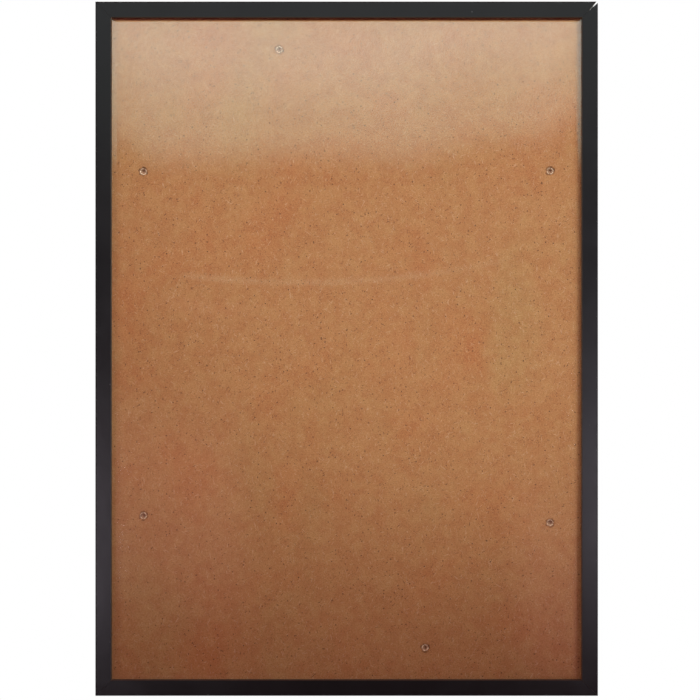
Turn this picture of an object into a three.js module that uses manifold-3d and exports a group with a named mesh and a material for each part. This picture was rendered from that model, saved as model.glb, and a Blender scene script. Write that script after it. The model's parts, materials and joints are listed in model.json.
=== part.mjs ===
// Black poster frame: four mitred rails, a clear sheet, a hardboard back and the turn springs that
// hold the back in. Millimetres, +Z up, the front faces -Y. The origin is the centre of the rails'
// back plane, the side that hangs against the wall.
import * as THREE from 'three';
import { mergeVertices } from 'three/addons/utils/BufferGeometryUtils.js';
import Module from 'manifold-3d';

// The picture that the frame takes
const pictureWidth = 500;
const pictureHeight = 700;
const pictureClearance = 1; // play between the picture and the rebate, on each side
const paperGap = 0.4; // room for the picture between the clear sheet and the back panel

// Moulding section
const faceWidth = 17;
const mouldingDepth = 22;
const lipOverlap = 6; // width of the rebate behind the lip
const lipThickness = 4;
const faceRounding = 1.2; // front edges
const backRounding = 0.6; // outer back edge

// Mitres
const mitreHairline = 0.12; // gap across a closed mitre
const openMitreWidth = 1.7; // gap at the outer tip of the top right mitre, which has opened
const openMitreRun = 9; // how far in from the outer edges that gap runs

// Sheets
const clearSheetThickness = 1.5;
const panelThickness = 3;

// Rivets, one for each turn spring
const rivetInset = 37.5; // from the panel's edge
const springFromCorner = 170; // from the panel's corner, along its edge
const shankRadius = 2.1;
const rivetWall = 0.65; // around its bore
const boreDepth = 2.6;
const clinchOverhang = 1.4; // how far the rolled end spreads past the shank
const clinchHeight = 0.8;
const clinchCrown = 0.45; // height of the round part of the rolled end
const clinchSunk = 0.1; // the rolled end lies this far under the panel's front
const headOverhang = 2.5;
const headHeight = 1.5;
const headRim = 0.35; // straight edge under the head's dome

// Turn springs
const springStock = 0.8;
const springPadMargin = 1.9; // round pad at the pivot, outside the rivet's head
const springTipRadius = 4.6;
const springRise = 1.8; // the arm stands this much higher than the pad
const springRampStart = 1; // from the pad's edge, along the arm
const springRampLength = 9;
const tipEngagement = 3.5; // how far the tip reaches into the rail's groove
const tipEndPlay = 1.2; // between the tip and the groove's bottom
const tipFrontPlay = 0.9; // between the tip and the groove's front wall

// Saw-tooth hangers
const hangerLength = 46;
const hangerWidth = 8.4;
const hangerFromEdge = 1.2; // from the rail's outer edge
const hangerStock = 0.7;
const hangerRise = 1.3; // the toothed middle stands off the rail
const hangerTabLength = 8; // flat tab at each end, under a nail
const hangerRampLength = 2.2;
const hangerCornerRadius = 1.5;
const toothPitch = 2.6;
const toothDepth = 1.3;

// Wire nails of the hangers
const nailShankRadius = 0.7;
const nailHeadRadius = 1.7;
const nailHeadThickness = 0.6;
const nailLength = 9;
const nailPointLength = 1.6;

// V-nails that pull the mitres together from behind
const vNailLeg = 6;
const vNailStock = 0.7;
const vNailLength = 10;
const vNailFromEdge = 4.2; // its corner, from both outer edges
const vNailSunk = 0.3; // under the back of the rails

// Clearances
const runningGap = 0.3; // around a shank, and between a spring and what it turns against
const pocketGap = 0.3; // around a nail driven into a rail

// Smoothness
const roundingSegments = 5;
const circleSegments = 20;
const rampSegments = 6;
const domeSegments = 4;

const cutPast = 1; // how far a cutter runs past the faces that it cuts through

// Sizes that follow
const wallWidth = faceWidth - lipOverlap; // of a rail behind its rebate
const outerWidth = pictureWidth + 2 * (pictureClearance + wallWidth);
const outerHeight = pictureHeight + 2 * (pictureClearance + wallWidth);
const panelEdge = wallWidth + pictureClearance; // the sheets' edges, from the outer edge

// Levels along Y, from the front to the back plane at 0
const frontFace = -mouldingDepth;
const clearSheetFront = frontFace + lipThickness;
const panelFront = clearSheetFront + clearSheetThickness + paperGap;
const panelBack = panelFront + panelThickness;
const springSeat = panelBack + runningGap;
const springPadBack = springSeat + springStock;
const tipFront = springSeat + springRise;
const grooveFront = tipFront - tipFrontPlay;
const grooveBack = tipFront + springStock + runningGap;
const rivetHeadSeat = springPadBack + runningGap;
const clinchFront = panelFront + clinchSunk;
const clinchSeat = clinchFront + clinchHeight;

const boreRadius = shankRadius - rivetWall;
const clinchRadius = shankRadius + clinchOverhang;
const headRadius = shankRadius + headOverhang;
const springPadRadius = headRadius + springPadMargin;
const springReach = rivetInset + pictureClearance + tipEngagement;
const grooveDepth = tipEngagement + tipEndPlay;

const wasm = await Module();
wasm.setup();

const alongX = new THREE.Vector3(1, 0, 0);
const alongY = new THREE.Vector3(0, 1, 0);
const alongZ = new THREE.Vector3(0, 0, 1);
const towardsFront = new THREE.Vector3(0, -1, 0);
// A shape drawn as (depth, inwards) and extruded along the rail
const sectionBasis = new THREE.Matrix4().makeBasis(alongY, alongZ, alongX);
// A shape drawn as (along, inwards) and extruded from the back towards the front
const planBasis = new THREE.Matrix4().makeBasis(alongX, alongZ, towardsFront);

// A closed geometry as a solid for cutting and joining
function toSolid(geometry) {
  const bare = geometry.clone();
  bare.deleteAttribute('normal');
  bare.deleteAttribute('uv');
  const merged = mergeVertices(bare);
  const corners = merged.index.array;
  const triangles = [];
  for (let i = 0; i < corners.length; i += 3) {
    const triangle = [corners[i], corners[i + 1], corners[i + 2]];
    if (new Set(triangle).size === 3) triangles.push(...triangle);
  }
  return new wasm.Manifold(
    new wasm.Mesh({
      numProp: 3,
      vertProperties: merged.attributes.position.array,
      triVerts: new Uint32Array(triangles),
    }),
  );
}

function toGeometry(solid) {
  const mesh = solid.getMesh();
  const geometry = new THREE.BufferGeometry();
  geometry.setAttribute('position', new THREE.BufferAttribute(mesh.vertProperties, 3));
  geometry.setIndex(new THREE.BufferAttribute(mesh.triVerts, 1));
  geometry.computeVertexNormals();
  return geometry;
}

function extrude(shape, depth, basis) {
  const options = { depth, steps: 1, bevelEnabled: false, curveSegments: roundingSegments };
  return new THREE.ExtrudeGeometry(shape, options).applyMatrix4(basis);
}

// A plan shape from the level `back` to the level `front`
function plate(shape, front, back) {
  return extrude(shape, back - front, planBasis).translate(0, back, 0);
}

// A turned piece on the Y axis, from [radius, level] pairs that start and end on the axis
function turned(profile) {
  const points = profile.map(([radius, level]) => new THREE.Vector2(radius, level));
  return new THREE.LatheGeometry(points, circleSegments);
}

// Points on an ellipse in a turned profile, from one angle to another
function ellipse(centre, halfWidth, halfHeight, from, to) {
  const [radius, level] = centre;
  return Array.from({ length: domeSegments + 1 }, (unused, step) => {
    const angle = from + (to - from) * step / domeSegments;
    return [radius + halfWidth * Math.cos(angle), level + halfHeight * Math.sin(angle)];
  });
}

function rod(radius, front, back) {
  return turned([[0, front], [radius, front], [radius, back], [0, back]]);
}

function rectangle(width, height) {
  const shape = new THREE.Shape();
  shape.moveTo(-width / 2, -height / 2);
  shape.lineTo(width / 2, -height / 2);
  shape.lineTo(width / 2, height / 2);
  shape.lineTo(-width / 2, height / 2);
  return shape;
}

// The moulding's section: x is the depth behind the face, y the distance in from the outer edge
function mouldingSection() {
  const depthOf = (level) => level - frontFace;
  const sight = faceWidth - faceRounding;
  const groove = wallWidth - grooveDepth;
  const backCorner = mouldingDepth - backRounding;
  const shape = new THREE.Shape();
  shape.moveTo(0, faceRounding);
  shape.lineTo(0, sight);
  shape.absarc(faceRounding, sight, faceRounding, Math.PI, Math.PI / 2, true);
  shape.lineTo(lipThickness, faceWidth);
  shape.lineTo(lipThickness, wallWidth);
  shape.lineTo(depthOf(grooveFront), wallWidth);
  shape.lineTo(depthOf(grooveFront), groove);
  shape.lineTo(depthOf(grooveBack), groove);
  shape.lineTo(depthOf(grooveBack), wallWidth);
  shape.lineTo(mouldingDepth, wallWidth);
  shape.lineTo(mouldingDepth, backRounding);
  shape.absarc(backCorner, backRounding, backRounding, 0, -Math.PI / 2, true);
  shape.lineTo(faceRounding, 0);
  shape.absarc(faceRounding, faceRounding, faceRounding, -Math.PI / 2, -Math.PI, true);
  return shape;
}

// A length of moulding along X with both ends mitred: each end steps back by the distance in
// from the outer edge, and by half of the hairline gap
function mitredMoulding(length) {
  const geometry = extrude(mouldingSection(), length, sectionBasis);
  geometry.translate(-length / 2, frontFace, 0);
  const position = geometry.getAttribute('position');
  for (let i = 0; i < position.count; i += 1) {
    const end = Math.sign(position.getX(i));
    const stepBack = position.getZ(i) + mitreHairline / Math.SQRT2;
    position.setX(i, end * (length / 2 - stepBack));
  }
  return geometry;
}

// The wedge that is missing from an opened mitre, at the rail's end towards `end`
function mitreWedge(length, end) {
  const tip = length / 2;
  // The wedge goes on past the tip as far again, where it is twice as wide
  const half = openMitreWidth / Math.SQRT2;
  const shape = new THREE.Shape();
  shape.moveTo(end * (tip - openMitreRun), openMitreRun);
  shape.lineTo(end * (tip + openMitreRun - half), -openMitreRun - half);
  shape.lineTo(end * (tip + openMitreRun + half), -openMitreRun + half);
  return plate(shape, frontFace - cutPast, cutPast);
}

// The V-nail's plan with its corner at the origin, one leg along the rail and one along its
// neighbour at the end towards `end`; `gap` widens it all round
function vNailPlan(end, gap) {
  const half = vNailStock / 2 + gap;
  const reach = vNailLeg + gap;
  const shape = new THREE.Shape();
  shape.moveTo(-end * reach, -half);
  shape.lineTo(end * half, -half);
  shape.lineTo(end * half, reach);
  shape.lineTo(-end * half, reach);
  shape.lineTo(-end * half, half);
  shape.lineTo(-end * reach, half);
  return shape;
}

function vNailAt(length, end, gap, front, back) {
  const corner = end * (length / 2 - vNailFromEdge);
  return plate(vNailPlan(end, gap), front, back).translate(corner, 0, vNailFromEdge);
}

const nailOffsets = [-1, 1].map((end) => end * (hangerLength - hangerTabLength) / 2);
const nailFromEdge = hangerFromEdge + hangerWidth / 2;

function railGeometry(length, hasHanger, openEnd) {
  let rail = toSolid(mitredMoulding(length));
  for (const end of [-1, 1]) {
    const pocketFront = -vNailSunk - vNailLength - pocketGap;
    rail = rail.subtract(toSolid(vNailAt(length, end, pocketGap, pocketFront, cutPast)));
  }
  if (hasHanger) {
    const holeFront = hangerStock - nailLength - pocketGap;
    for (const offset of nailOffsets) {
      const hole = rod(nailShankRadius + pocketGap, holeFront, cutPast);
      rail = rail.subtract(toSolid(hole.translate(offset, 0, nailFromEdge)));
    }
  }
  if (openEnd) {
    rail = rail.subtract(toSolid(mitreWedge(length, openEnd)));
  }
  return toGeometry(rail);
}

// Stamped strip: pad at the pivot, a ramp, and an arm towards -Z whose tip enters the groove
function turnSpringGeometry() {
  const bends = [[-springPadRadius, 0]];
  for (let step = 0; step <= rampSegments; step += 1) {
    const share = step / rampSegments;
    const out = springPadRadius + springRampStart + springRampLength * share;
    const rise = springRise * (1 - Math.cos(Math.PI * share)) / 2;
    bends.push([out, rise]);
  }
  bends.push([springReach, springRise]);
  const strip = new THREE.Shape();
  strip.setFromPoints([
    ...bends.map(([out, rise]) => new THREE.Vector2(rise, -out)),
    ...bends.toReversed().map(([out, rise]) => new THREE.Vector2(rise + springStock, -out)),
  ]);
  const stripWidth = 2 * Math.max(springPadRadius, springTipRadius) + 2 * cutPast;
  const bent = extrude(strip, stripWidth, sectionBasis).translate(-stripWidth / 2, 0, 0);

  const tipCentre = springReach - springTipRadius;
  const plan = new THREE.Shape();
  plan.absarc(0, 0, springPadRadius, 0, Math.PI, false);
  plan.absarc(0, -tipCentre, springTipRadius, Math.PI, 2 * Math.PI, false);
  const outline = plate(plan, -cutPast, springRise + springStock + cutPast);

  const hole = rod(shankRadius + runningGap, -cutPast, springStock + cutPast);
  return toGeometry(toSolid(bent).intersect(toSolid(outline)).subtract(toSolid(hole)));
}

// Semi-tubular rivet: low domed head at the back, hollow end rolled over at the panel's front
function rivetGeometry() {
  const rollCentre = [(boreRadius + clinchRadius) / 2, clinchFront + clinchCrown];
  const rollHalfWidth = (clinchRadius - boreRadius) / 2;
  const domeCentre = [0, rivetHeadSeat + headRim];
  return turned([
    [0, clinchFront + boreDepth],
    [boreRadius, clinchFront + boreDepth],
    ...ellipse(rollCentre, rollHalfWidth, clinchCrown, -Math.PI, 0),
    [clinchRadius, clinchSeat],
    [shankRadius, clinchSeat],
    [shankRadius, rivetHeadSeat],
    [headRadius, rivetHeadSeat],
    ...ellipse(domeCentre, headRadius, headHeight - headRim, 0, Math.PI / 2),
  ]);
}

// Strip along X with two flat tabs and a raised middle, its inner edge cut into teeth
function hangerGeometry() {
  const half = hangerLength / 2;
  const raisedHalf = half - hangerTabLength - hangerRampLength;
  const bends = [
    [-half, 0],
    [hangerTabLength - half, 0],
    [-raisedHalf, hangerRise],
    [raisedHalf, hangerRise],
    [half - hangerTabLength, 0],
    [half, 0],
  ];
  const strip = new THREE.Shape();
  strip.setFromPoints([
    ...bends.map(([along, level]) => new THREE.Vector2(along, level)),
    ...bends.toReversed().map(([along, level]) => new THREE.Vector2(along, level + hangerStock)),
  ]);
  const bent = extrude(strip, hangerWidth, new THREE.Matrix4());

  const corner = hangerCornerRadius;
  const toothCount = Math.floor(2 * raisedHalf / toothPitch);
  const plan = new THREE.Shape();
  plan.absarc(corner - half, corner, corner, Math.PI, 1.5 * Math.PI, false);
  plan.absarc(half - corner, corner, corner, 1.5 * Math.PI, 2 * Math.PI, false);
  plan.absarc(half - corner, hangerWidth - corner, corner, 0, Math.PI / 2, false);
  for (let tooth = 0; tooth < toothCount; tooth += 1) {
    const start = (toothCount / 2 - tooth) * toothPitch;
    plan.lineTo(start, hangerWidth);
    plan.lineTo(start - toothPitch / 2, hangerWidth - toothDepth);
  }
  plan.lineTo(-toothCount / 2 * toothPitch, hangerWidth);
  plan.absarc(corner - half, hangerWidth - corner, corner, Math.PI / 2, Math.PI, false);

  const outline = plate(plan, -cutPast, hangerRise + hangerStock + cutPast);
  let hanger = toSolid(bent).intersect(toSolid(outline));
  for (const offset of nailOffsets) {
    const hole = rod(nailShankRadius + pocketGap, -cutPast, hangerStock + cutPast);
    hanger = hanger.subtract(toSolid(hole.translate(offset, 0, hangerWidth / 2)));
  }
  return toGeometry(hanger);
}

function hangerNailGeometry() {
  const point = hangerStock - nailLength;
  return turned([
    [0, point],
    [nailShankRadius, point + nailPointLength],
    [nailShankRadius, hangerStock],
    [nailHeadRadius, hangerStock],
    [nailHeadRadius, hangerStock + nailHeadThickness],
    [0, hangerStock + nailHeadThickness],
  ]);
}

// The turn springs: the side whose rail each one locks into, the end of that side (as +1 or -1
// along the rail) that it is measured from, and how far its rivet missed its mark
const springStations = [
  { name: 'top', side: 'top', end: 1, missed: 9.5 },
  { name: 'bottom', side: 'bottom', end: 1, missed: -2 },
  { name: 'left_upper', side: 'left', end: -1, missed: -5 },
  { name: 'left_lower', side: 'left', end: 1, missed: 5.5 },
  { name: 'right_upper', side: 'right', end: 1, missed: -5.5 },
  { name: 'right_lower', side: 'right', end: -1, missed: -2 },
];

// The four sides, as turns of the bottom one about Y. `openEnd` is the end of an opened mitre, and
// `nextSide` the neighbour at the +1 end, where the V-nail between the two is kept
const sides = [
  { name: 'bottom', turn: 0, length: outerWidth, across: outerHeight, nextSide: 'right' },
  { name: 'left', turn: 1, length: outerHeight, across: outerWidth, nextSide: 'bottom', hanger: true },
  {
    name: 'top', turn: 2, length: outerWidth, across: outerHeight, nextSide: 'left', hanger: true,
    openEnd: -1,
  },
  { name: 'right', turn: 3, length: outerHeight, across: outerWidth, nextSide: 'top', openEnd: 1 },
];

const blackFoil = new THREE.MeshStandardMaterial({ color: 0x242426, roughness: 0.45, metalness: 0 });
const hardboard = new THREE.MeshStandardMaterial({ color: 0xab7548, roughness: 0.75, metalness: 0 });
const clearPlastic = new THREE.MeshStandardMaterial({
  color: 0xf2f4f3, roughness: 0.08, metalness: 0, transparent: true, opacity: 0.2,
});
const springSteel = new THREE.MeshStandardMaterial({ color: 0xb4b5b3, roughness: 0.35, metalness: 1 });
const platedSteel = new THREE.MeshStandardMaterial({ color: 0xd5d0c6, roughness: 0.28, metalness: 1 });
const wireSteel = new THREE.MeshStandardMaterial({ color: 0x9b9a97, roughness: 0.4, metalness: 1 });

function piece(name, geometry, material) {
  const mesh = new THREE.Mesh(geometry, material);
  mesh.name = name;
  return mesh;
}

// One side in its own frame: X along the rail, Y from the back plane, Z in from the outer edge
function sideGroup(side) {
  const edge = new THREE.Group();
  edge.position.z = -side.across / 2;
  edge.add(piece(`${side.name}_rail`, railGeometry(side.length, side.hanger, side.openEnd), blackFoil));

  const vNail = vNailAt(side.length, 1, 0, -vNailSunk - vNailLength, -vNailSunk);
  edge.add(piece(`v_nail_${side.name}_${side.nextSide}`, vNail, wireSteel));

  if (side.hanger) {
    const hanger = piece(`hanger_${side.name}`, hangerGeometry(), platedSteel);
    hanger.position.z = hangerFromEdge;
    edge.add(hanger);
    nailOffsets.forEach((offset, index) => {
      const nail = piece(`hanger_nail_${side.name}_${index + 1}`, hangerNailGeometry(), wireSteel);
      nail.position.set(offset, 0, nailFromEdge);
      edge.add(nail);
    });
  }

  const panelLength = side.length - 2 * panelEdge;
  for (const station of springStations.filter((each) => each.side === side.name)) {
    const pivot = new THREE.Group();
    const along = panelLength / 2 - springFromCorner - station.missed;
    pivot.position.set(station.end * along, 0, panelEdge + rivetInset);
    pivot.add(piece(`rivet_${station.name}`, rivetGeometry(), platedSteel));
    const spring = piece(`turn_spring_${station.name}`, turnSpringGeometry(), springSteel);
    spring.position.y = springSeat;
    pivot.add(spring);
    edge.add(pivot);
  }

  const turnedSide = new THREE.Group();
  turnedSide.rotation.y = side.turn * Math.PI / 2;
  turnedSide.add(edge);
  return turnedSide;
}

// Where a station's rivet stands in the frame's plane
function rivetPlace(station) {
  const side = sides.find((each) => each.name === station.side);
  const along = side.length / 2 - panelEdge - springFromCorner - station.missed;
  const inwards = panelEdge + rivetInset - side.across / 2;
  return new THREE.Vector3(station.end * along, 0, inwards)
    .applyAxisAngle(alongY, side.turn * Math.PI / 2);
}

// Hardboard with a hole for each rivet, sunk at the front where the rivet's end is rolled over
function backPanelGeometry() {
  let panel = toSolid(plate(rectangle(pictureWidth, pictureHeight), panelFront, panelBack));
  for (const station of springStations) {
    const { x, z } = rivetPlace(station);
    const hole = rod(shankRadius + pocketGap, panelFront - cutPast, panelBack + cutPast);
    const sunk = rod(clinchRadius + pocketGap, panelFront - cutPast, clinchSeat);
    panel = panel.subtract(toSolid(hole.translate(x, 0, z)));
    panel = panel.subtract(toSolid(sunk.translate(x, 0, z)));
  }
  return toGeometry(panel);
}

function clearSheetGeometry() {
  const back = clearSheetFront + clearSheetThickness;
  return plate(rectangle(pictureWidth, pictureHeight), clearSheetFront, back);
}

const pictureFrame = new THREE.Group();
sides.forEach((side) => pictureFrame.add(sideGroup(side)));
pictureFrame.add(piece('clear_sheet', clearSheetGeometry(), clearPlastic));
pictureFrame.add(piece('back_panel', backPanelGeometry(), hardboard));

export default pictureFrame;
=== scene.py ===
import bmesh
import bpy
import json
import math
from mathutils import Matrix, Vector


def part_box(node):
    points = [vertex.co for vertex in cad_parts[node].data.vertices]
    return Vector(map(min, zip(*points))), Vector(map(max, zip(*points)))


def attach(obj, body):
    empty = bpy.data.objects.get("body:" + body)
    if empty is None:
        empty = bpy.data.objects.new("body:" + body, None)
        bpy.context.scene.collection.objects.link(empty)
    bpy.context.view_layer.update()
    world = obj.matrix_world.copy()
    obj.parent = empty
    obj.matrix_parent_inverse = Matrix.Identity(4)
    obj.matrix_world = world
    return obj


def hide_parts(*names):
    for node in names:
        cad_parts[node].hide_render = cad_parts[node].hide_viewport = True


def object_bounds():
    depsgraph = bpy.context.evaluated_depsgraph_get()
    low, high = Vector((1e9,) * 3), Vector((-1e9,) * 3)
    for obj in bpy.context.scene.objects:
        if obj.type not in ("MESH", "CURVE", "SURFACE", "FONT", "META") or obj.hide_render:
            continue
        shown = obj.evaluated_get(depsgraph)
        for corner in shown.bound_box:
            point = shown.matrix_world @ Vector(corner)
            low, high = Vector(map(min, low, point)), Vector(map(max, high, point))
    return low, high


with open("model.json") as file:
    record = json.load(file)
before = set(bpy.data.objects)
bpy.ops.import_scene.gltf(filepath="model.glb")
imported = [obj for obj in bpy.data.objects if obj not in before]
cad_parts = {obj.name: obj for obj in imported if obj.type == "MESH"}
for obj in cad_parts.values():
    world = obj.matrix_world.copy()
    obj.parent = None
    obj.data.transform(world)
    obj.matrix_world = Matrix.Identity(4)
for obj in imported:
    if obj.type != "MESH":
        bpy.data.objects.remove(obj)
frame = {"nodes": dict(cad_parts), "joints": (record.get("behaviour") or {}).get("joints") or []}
cadLow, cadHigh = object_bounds()
nodes = frame["nodes"]
scene = bpy.context.scene
mm = 0.001
weld = 1e-7              # points nearer than this are made one
treeWeld = 1e-6          # the same in a node tree and in a copied node


# small tools for node trees

def feed(tree, node, sockets):
    for key, value in sockets.items():
        if isinstance(value, bpy.types.NodeSocket):
            tree.links.new(value, node.inputs[key])
        else:
            node.inputs[key].default_value = value


def addNode(tree, kind, sockets=None, **settings):
    node = tree.nodes.new(kind)
    for name, value in settings.items():
        setattr(node, name, value)
    feed(tree, node, sockets or {})
    return node


def calc(tree, operation, *values):
    return addNode(tree, "ShaderNodeMath", dict(enumerate(values)), operation=operation).outputs[0]


def chain(tree, operation, first, *others):
    for value in others:
        first = calc(tree, operation, first, value)
    return first


def times(tree, *values):
    return chain(tree, "MULTIPLY", *values)


def plus(tree, *values):
    return chain(tree, "ADD", *values)


def ease(tree, value, start, end, low=0.0, high=1.0):
    sockets = {"Value": value, "From Min": start, "From Max": end, "To Min": low, "To Max": high}
    return addNode(tree, "ShaderNodeMapRange", sockets, interpolation_type="SMOOTHSTEP").outputs[0]


def fade(tree, value, start, end):
    return ease(tree, value, start, end, 1.0, 0.0)


def between(tree, value, a, b, c, d):
    # 1 between b and c, fading to 0 at a and d
    return times(tree, ease(tree, value, a, b), fade(tree, value, c, d))


def split(tree, vector):
    return addNode(tree, "ShaderNodeSeparateXYZ", {0: vector}).outputs


def join(tree, x=0.0, y=0.0, z=0.0):
    return addNode(tree, "ShaderNodeCombineXYZ", {0: x, 1: y, 2: z}).outputs[0]


def onVectors(tree, operation, *values):
    return addNode(tree, "ShaderNodeVectorMath", dict(enumerate(values)), operation=operation)


def aboutY(tree, vector, angle):
    sockets = {"Vector": vector, "Angle": angle}
    return addNode(tree, "ShaderNodeVectorRotate", sockets, rotation_type="Y_AXIS").outputs[0]


def stretched(tree, place, stretch, turn=0.0):
    # turned about Y, then stretched
    return onVectors(tree, "MULTIPLY", aboutY(tree, place, turn), stretch).outputs[0]


def noise(tree, place, scale, detail=2.0, roughness=0.5, distortion=0.0, output=0):
    sockets = {"Vector": place, "Scale": scale, "Detail": detail, "Roughness": roughness,
               "Distortion": distortion}
    return addNode(tree, "ShaderNodeTexNoise", sockets).outputs[output]


def rgba(colour):
    return (*colour, 1.0)


def tint(tree, share, first, second, blend="MIX"):
    # a colour is a socket or (red, green, blue)
    first, second = [rgba(colour) if isinstance(colour, tuple) else colour for colour in (first, second)]
    sockets = {0: share, 6: first, 7: second}
    return addNode(tree, "ShaderNodeMix", sockets, data_type="RGBA", blend_type=blend).outputs[2]


def newMaterial(name):
    material = bpy.data.materials.new(name)
    material.use_nodes = True
    tree = material.node_tree
    shader = tree.nodes["Principled BSDF"]
    place = addNode(tree, "ShaderNodeTexCoord").outputs["Object"]
    return material, tree, shader, place


def bump(tree, height, strength, distance):
    sockets = {"Height": height, "Strength": strength, "Distance": distance}
    return addNode(tree, "ShaderNodeBump", sockets).outputs[0]


def coat(tree, shader, setup, colour, smear, height):
    # what the solid finishes have in common
    feed(tree, shader, {
        "Base Color": colour,
        "Roughness": ease(tree, smear, *setup["smearFrom"], *setup["roughness"]),
        "Specular IOR Level": setup["gloss"],
        "Normal": bump(tree, height, *setup["bump"]),
    })


def mixShaders(tree, share, first, second):
    both = addNode(tree, "ShaderNodeMixShader", {0: share, 1: first.outputs[0], 2: second.outputs[0]})
    tree.links.new(both.outputs[0], tree.nodes["Material Output"].inputs["Surface"])


def newTree(name, inputs):
    # inputs: the names of the sockets of each kind
    tree = bpy.data.node_groups.new(name, "GeometryNodeTree")
    for kind, labels in inputs.items():
        for label in labels:
            tree.interface.new_socket(name=label, in_out="INPUT", socket_type="NodeSocket" + kind)
    tree.interface.new_socket(name="Mesh", in_out="OUTPUT", socket_type="NodeSocketGeometry")
    return tree, addNode(tree, "NodeGroupInput").outputs


def geo(tree, kind, sockets=None, **settings):
    return addNode(tree, "GeometryNode" + kind, sockets, **settings).outputs[0]


def meshOf(tree, thing):
    return addNode(tree, "GeometryNodeObjectInfo", {"Object": thing}).outputs["Geometry"]


def drawOut(tree, mesh, offset):
    sockets = {"Mesh": mesh, "Offset": offset, "Offset Scale": 1.0, "Individual": False}
    return geo(tree, "ExtrudeMesh", sockets)


def joinClosed(tree, first, second):
    both = addNode(tree, "GeometryNodeJoinGeometry", {0: first})
    tree.links.new(second, both.inputs[0])
    return geo(tree, "MergeByDistance", {"Geometry": both.outputs[0], "Distance": treeWeld})


def softEdges(tree, mesh, degrees):
    angle = geo(tree, "InputMeshEdgeAngle")
    soft = addNode(tree, "FunctionNodeCompare", {0: angle, 1: math.radians(degrees)}, operation="LESS_THAN")
    shaded = geo(tree, "SetShadeSmooth", {"Geometry": mesh, "Shade Smooth": True}, domain="FACE")
    return geo(tree, "SetShadeSmooth", {"Geometry": shaded, "Shade Smooth": soft.outputs[0]}, domain="EDGE")


def dress(tree, mesh, material, where=True):
    return geo(tree, "SetMaterial", {"Geometry": mesh, "Selection": where, "Material": material})


def endTree(tree, mesh):
    addNode(tree, "NodeGroupOutput", {0: mesh})
    return tree


# small tools for meshes

def placeObject(name, mesh):
    thing = bpy.data.objects.new(name, mesh)
    scene.collection.objects.link(thing)
    return thing


def bakeModifiers(piece):
    graph = bpy.context.evaluated_depsgraph_get()
    mesh = bpy.data.meshes.new_from_object(piece.evaluated_get(graph), preserve_all_data_layers=True,
                                           depsgraph=graph)
    piece.modifiers.clear()
    piece.data = mesh


def bakeTree(name, start, tree, values):
    piece = placeObject(name, start)
    modifier = piece.modifiers.new(tree.name, "NODES")
    modifier.node_group = tree
    for item in tree.interface.items_tree:
        if item.in_out == "INPUT" and item.name in values:
            modifier[item.identifier] = values[item.name]
    bakeModifiers(piece)
    return piece


def meshFrom(name, points, faces):
    mesh = bpy.data.meshes.new(name)
    mesh.from_pydata(points, [], faces)
    mesh.update()
    return mesh


def meshOut(shape, name):
    mesh = bpy.data.meshes.new(name)
    shape.to_mesh(mesh)
    shape.free()
    return mesh


def closeMesh(shape, name):
    bmesh.ops.remove_doubles(shape, verts=shape.verts, dist=weld)
    bmesh.ops.recalc_face_normals(shape, faces=shape.faces)
    return meshOut(shape, name)


def spinProfile(name, profile, steps):
    # profile: (radius, level) pairs, level along Y
    shape = bmesh.new()
    angles = [2 * math.pi * step / steps for step in range(steps)]
    rings = []
    for radius, level in profile:
        places = [(radius * math.cos(a), level, radius * math.sin(a)) for a in angles]
        if radius < weld:
            places = [(0, level, 0)]
        rings.append([shape.verts.new(place) for place in places])
    for inner, outer in zip(rings, rings[1:]):
        for step in range(steps):
            ahead = (step + 1) % steps
            corners = [inner[step % len(inner)], inner[ahead % len(inner)], outer[ahead % len(outer)],
                       outer[step % len(outer)]]
            corners = list(dict.fromkeys(corners))
            if len(corners) > 2:
                shape.faces.new(corners)
    return closeMesh(shape, name)


def arc(centre, radius, start, end, steps):
    # points round a centre, angles in degrees
    angles = [math.radians(start + (end - start) * step / steps) for step in range(steps + 1)]
    return [(centre[0] + radius * math.cos(a), centre[1] + radius * math.sin(a)) for a in angles]


def nodeMiddle(node):
    low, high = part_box(node)
    return (low + high) / 2


def finishPiece(piece, slot, body, *replaced):
    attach(piece, body)
    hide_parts(*replaced)


# the camera looks straight at the frame
cameraSet = {
    "distance": 2.4,             # lens to the rails' face
    "imageWidth": 700,           # pixels
    "pixelsPerMetre": 959.5,     # at the rails' face
    "aside": 0.0035,             # the frame hangs a little left of the middle and above it
    "below": 0.0014,
    "sensor": 36.0,
}


def makeCamera():
    lens = bpy.data.cameras.new("camera")
    lens.sensor_width = cameraSet["sensor"]
    magnified = cameraSet["pixelsPerMetre"] * cameraSet["sensor"] * cameraSet["distance"]
    lens.lens = magnified / cameraSet["imageWidth"]
    camera = placeObject("camera", lens)
    camera.location = (cameraSet["aside"], cadLow.y - cameraSet["distance"], -cameraSet["below"])
    camera.rotation_euler = (math.pi / 2, 0, 0)
    scene.camera = camera


makeCamera()
print("camera: in place")


# soft studio light: a row of lamps high in front, one lamp behind and one above
lampSet = {
    "rowRun": 4.25,              # the row hangs this far in front
    "rowHeight": 2.22,
    "rowLamps": ((-1.6, 0.07), (-0.95, 0.10), (-0.3, 0.08), (0.25, 0.11),
                 (0.6, 0.22), (0.9, 0.20), (1.2, 0.13), (1.55, 0.09)),    # aside over run, share of the light
    "rowAim": (0.205, -0.016, 0.403),
    "rowCone": 14.07,
    "rowBlend": 0.622,
    "rowPower": 1290.0,
    "rowColour": (0.79, 1.0, 1.0),
    "rowRadius": 0.06,
    "softLamps": (("backLamp", (-0.9, 1.7, 2.0), (0, 0, 0), 1.1, 36.0),
                  ("topLamp", (0.0, 1.3, 2.6), (0.0, 1.3, 0.0), 2.4, 45.0)),    # place, aim, size, power
}


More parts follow.
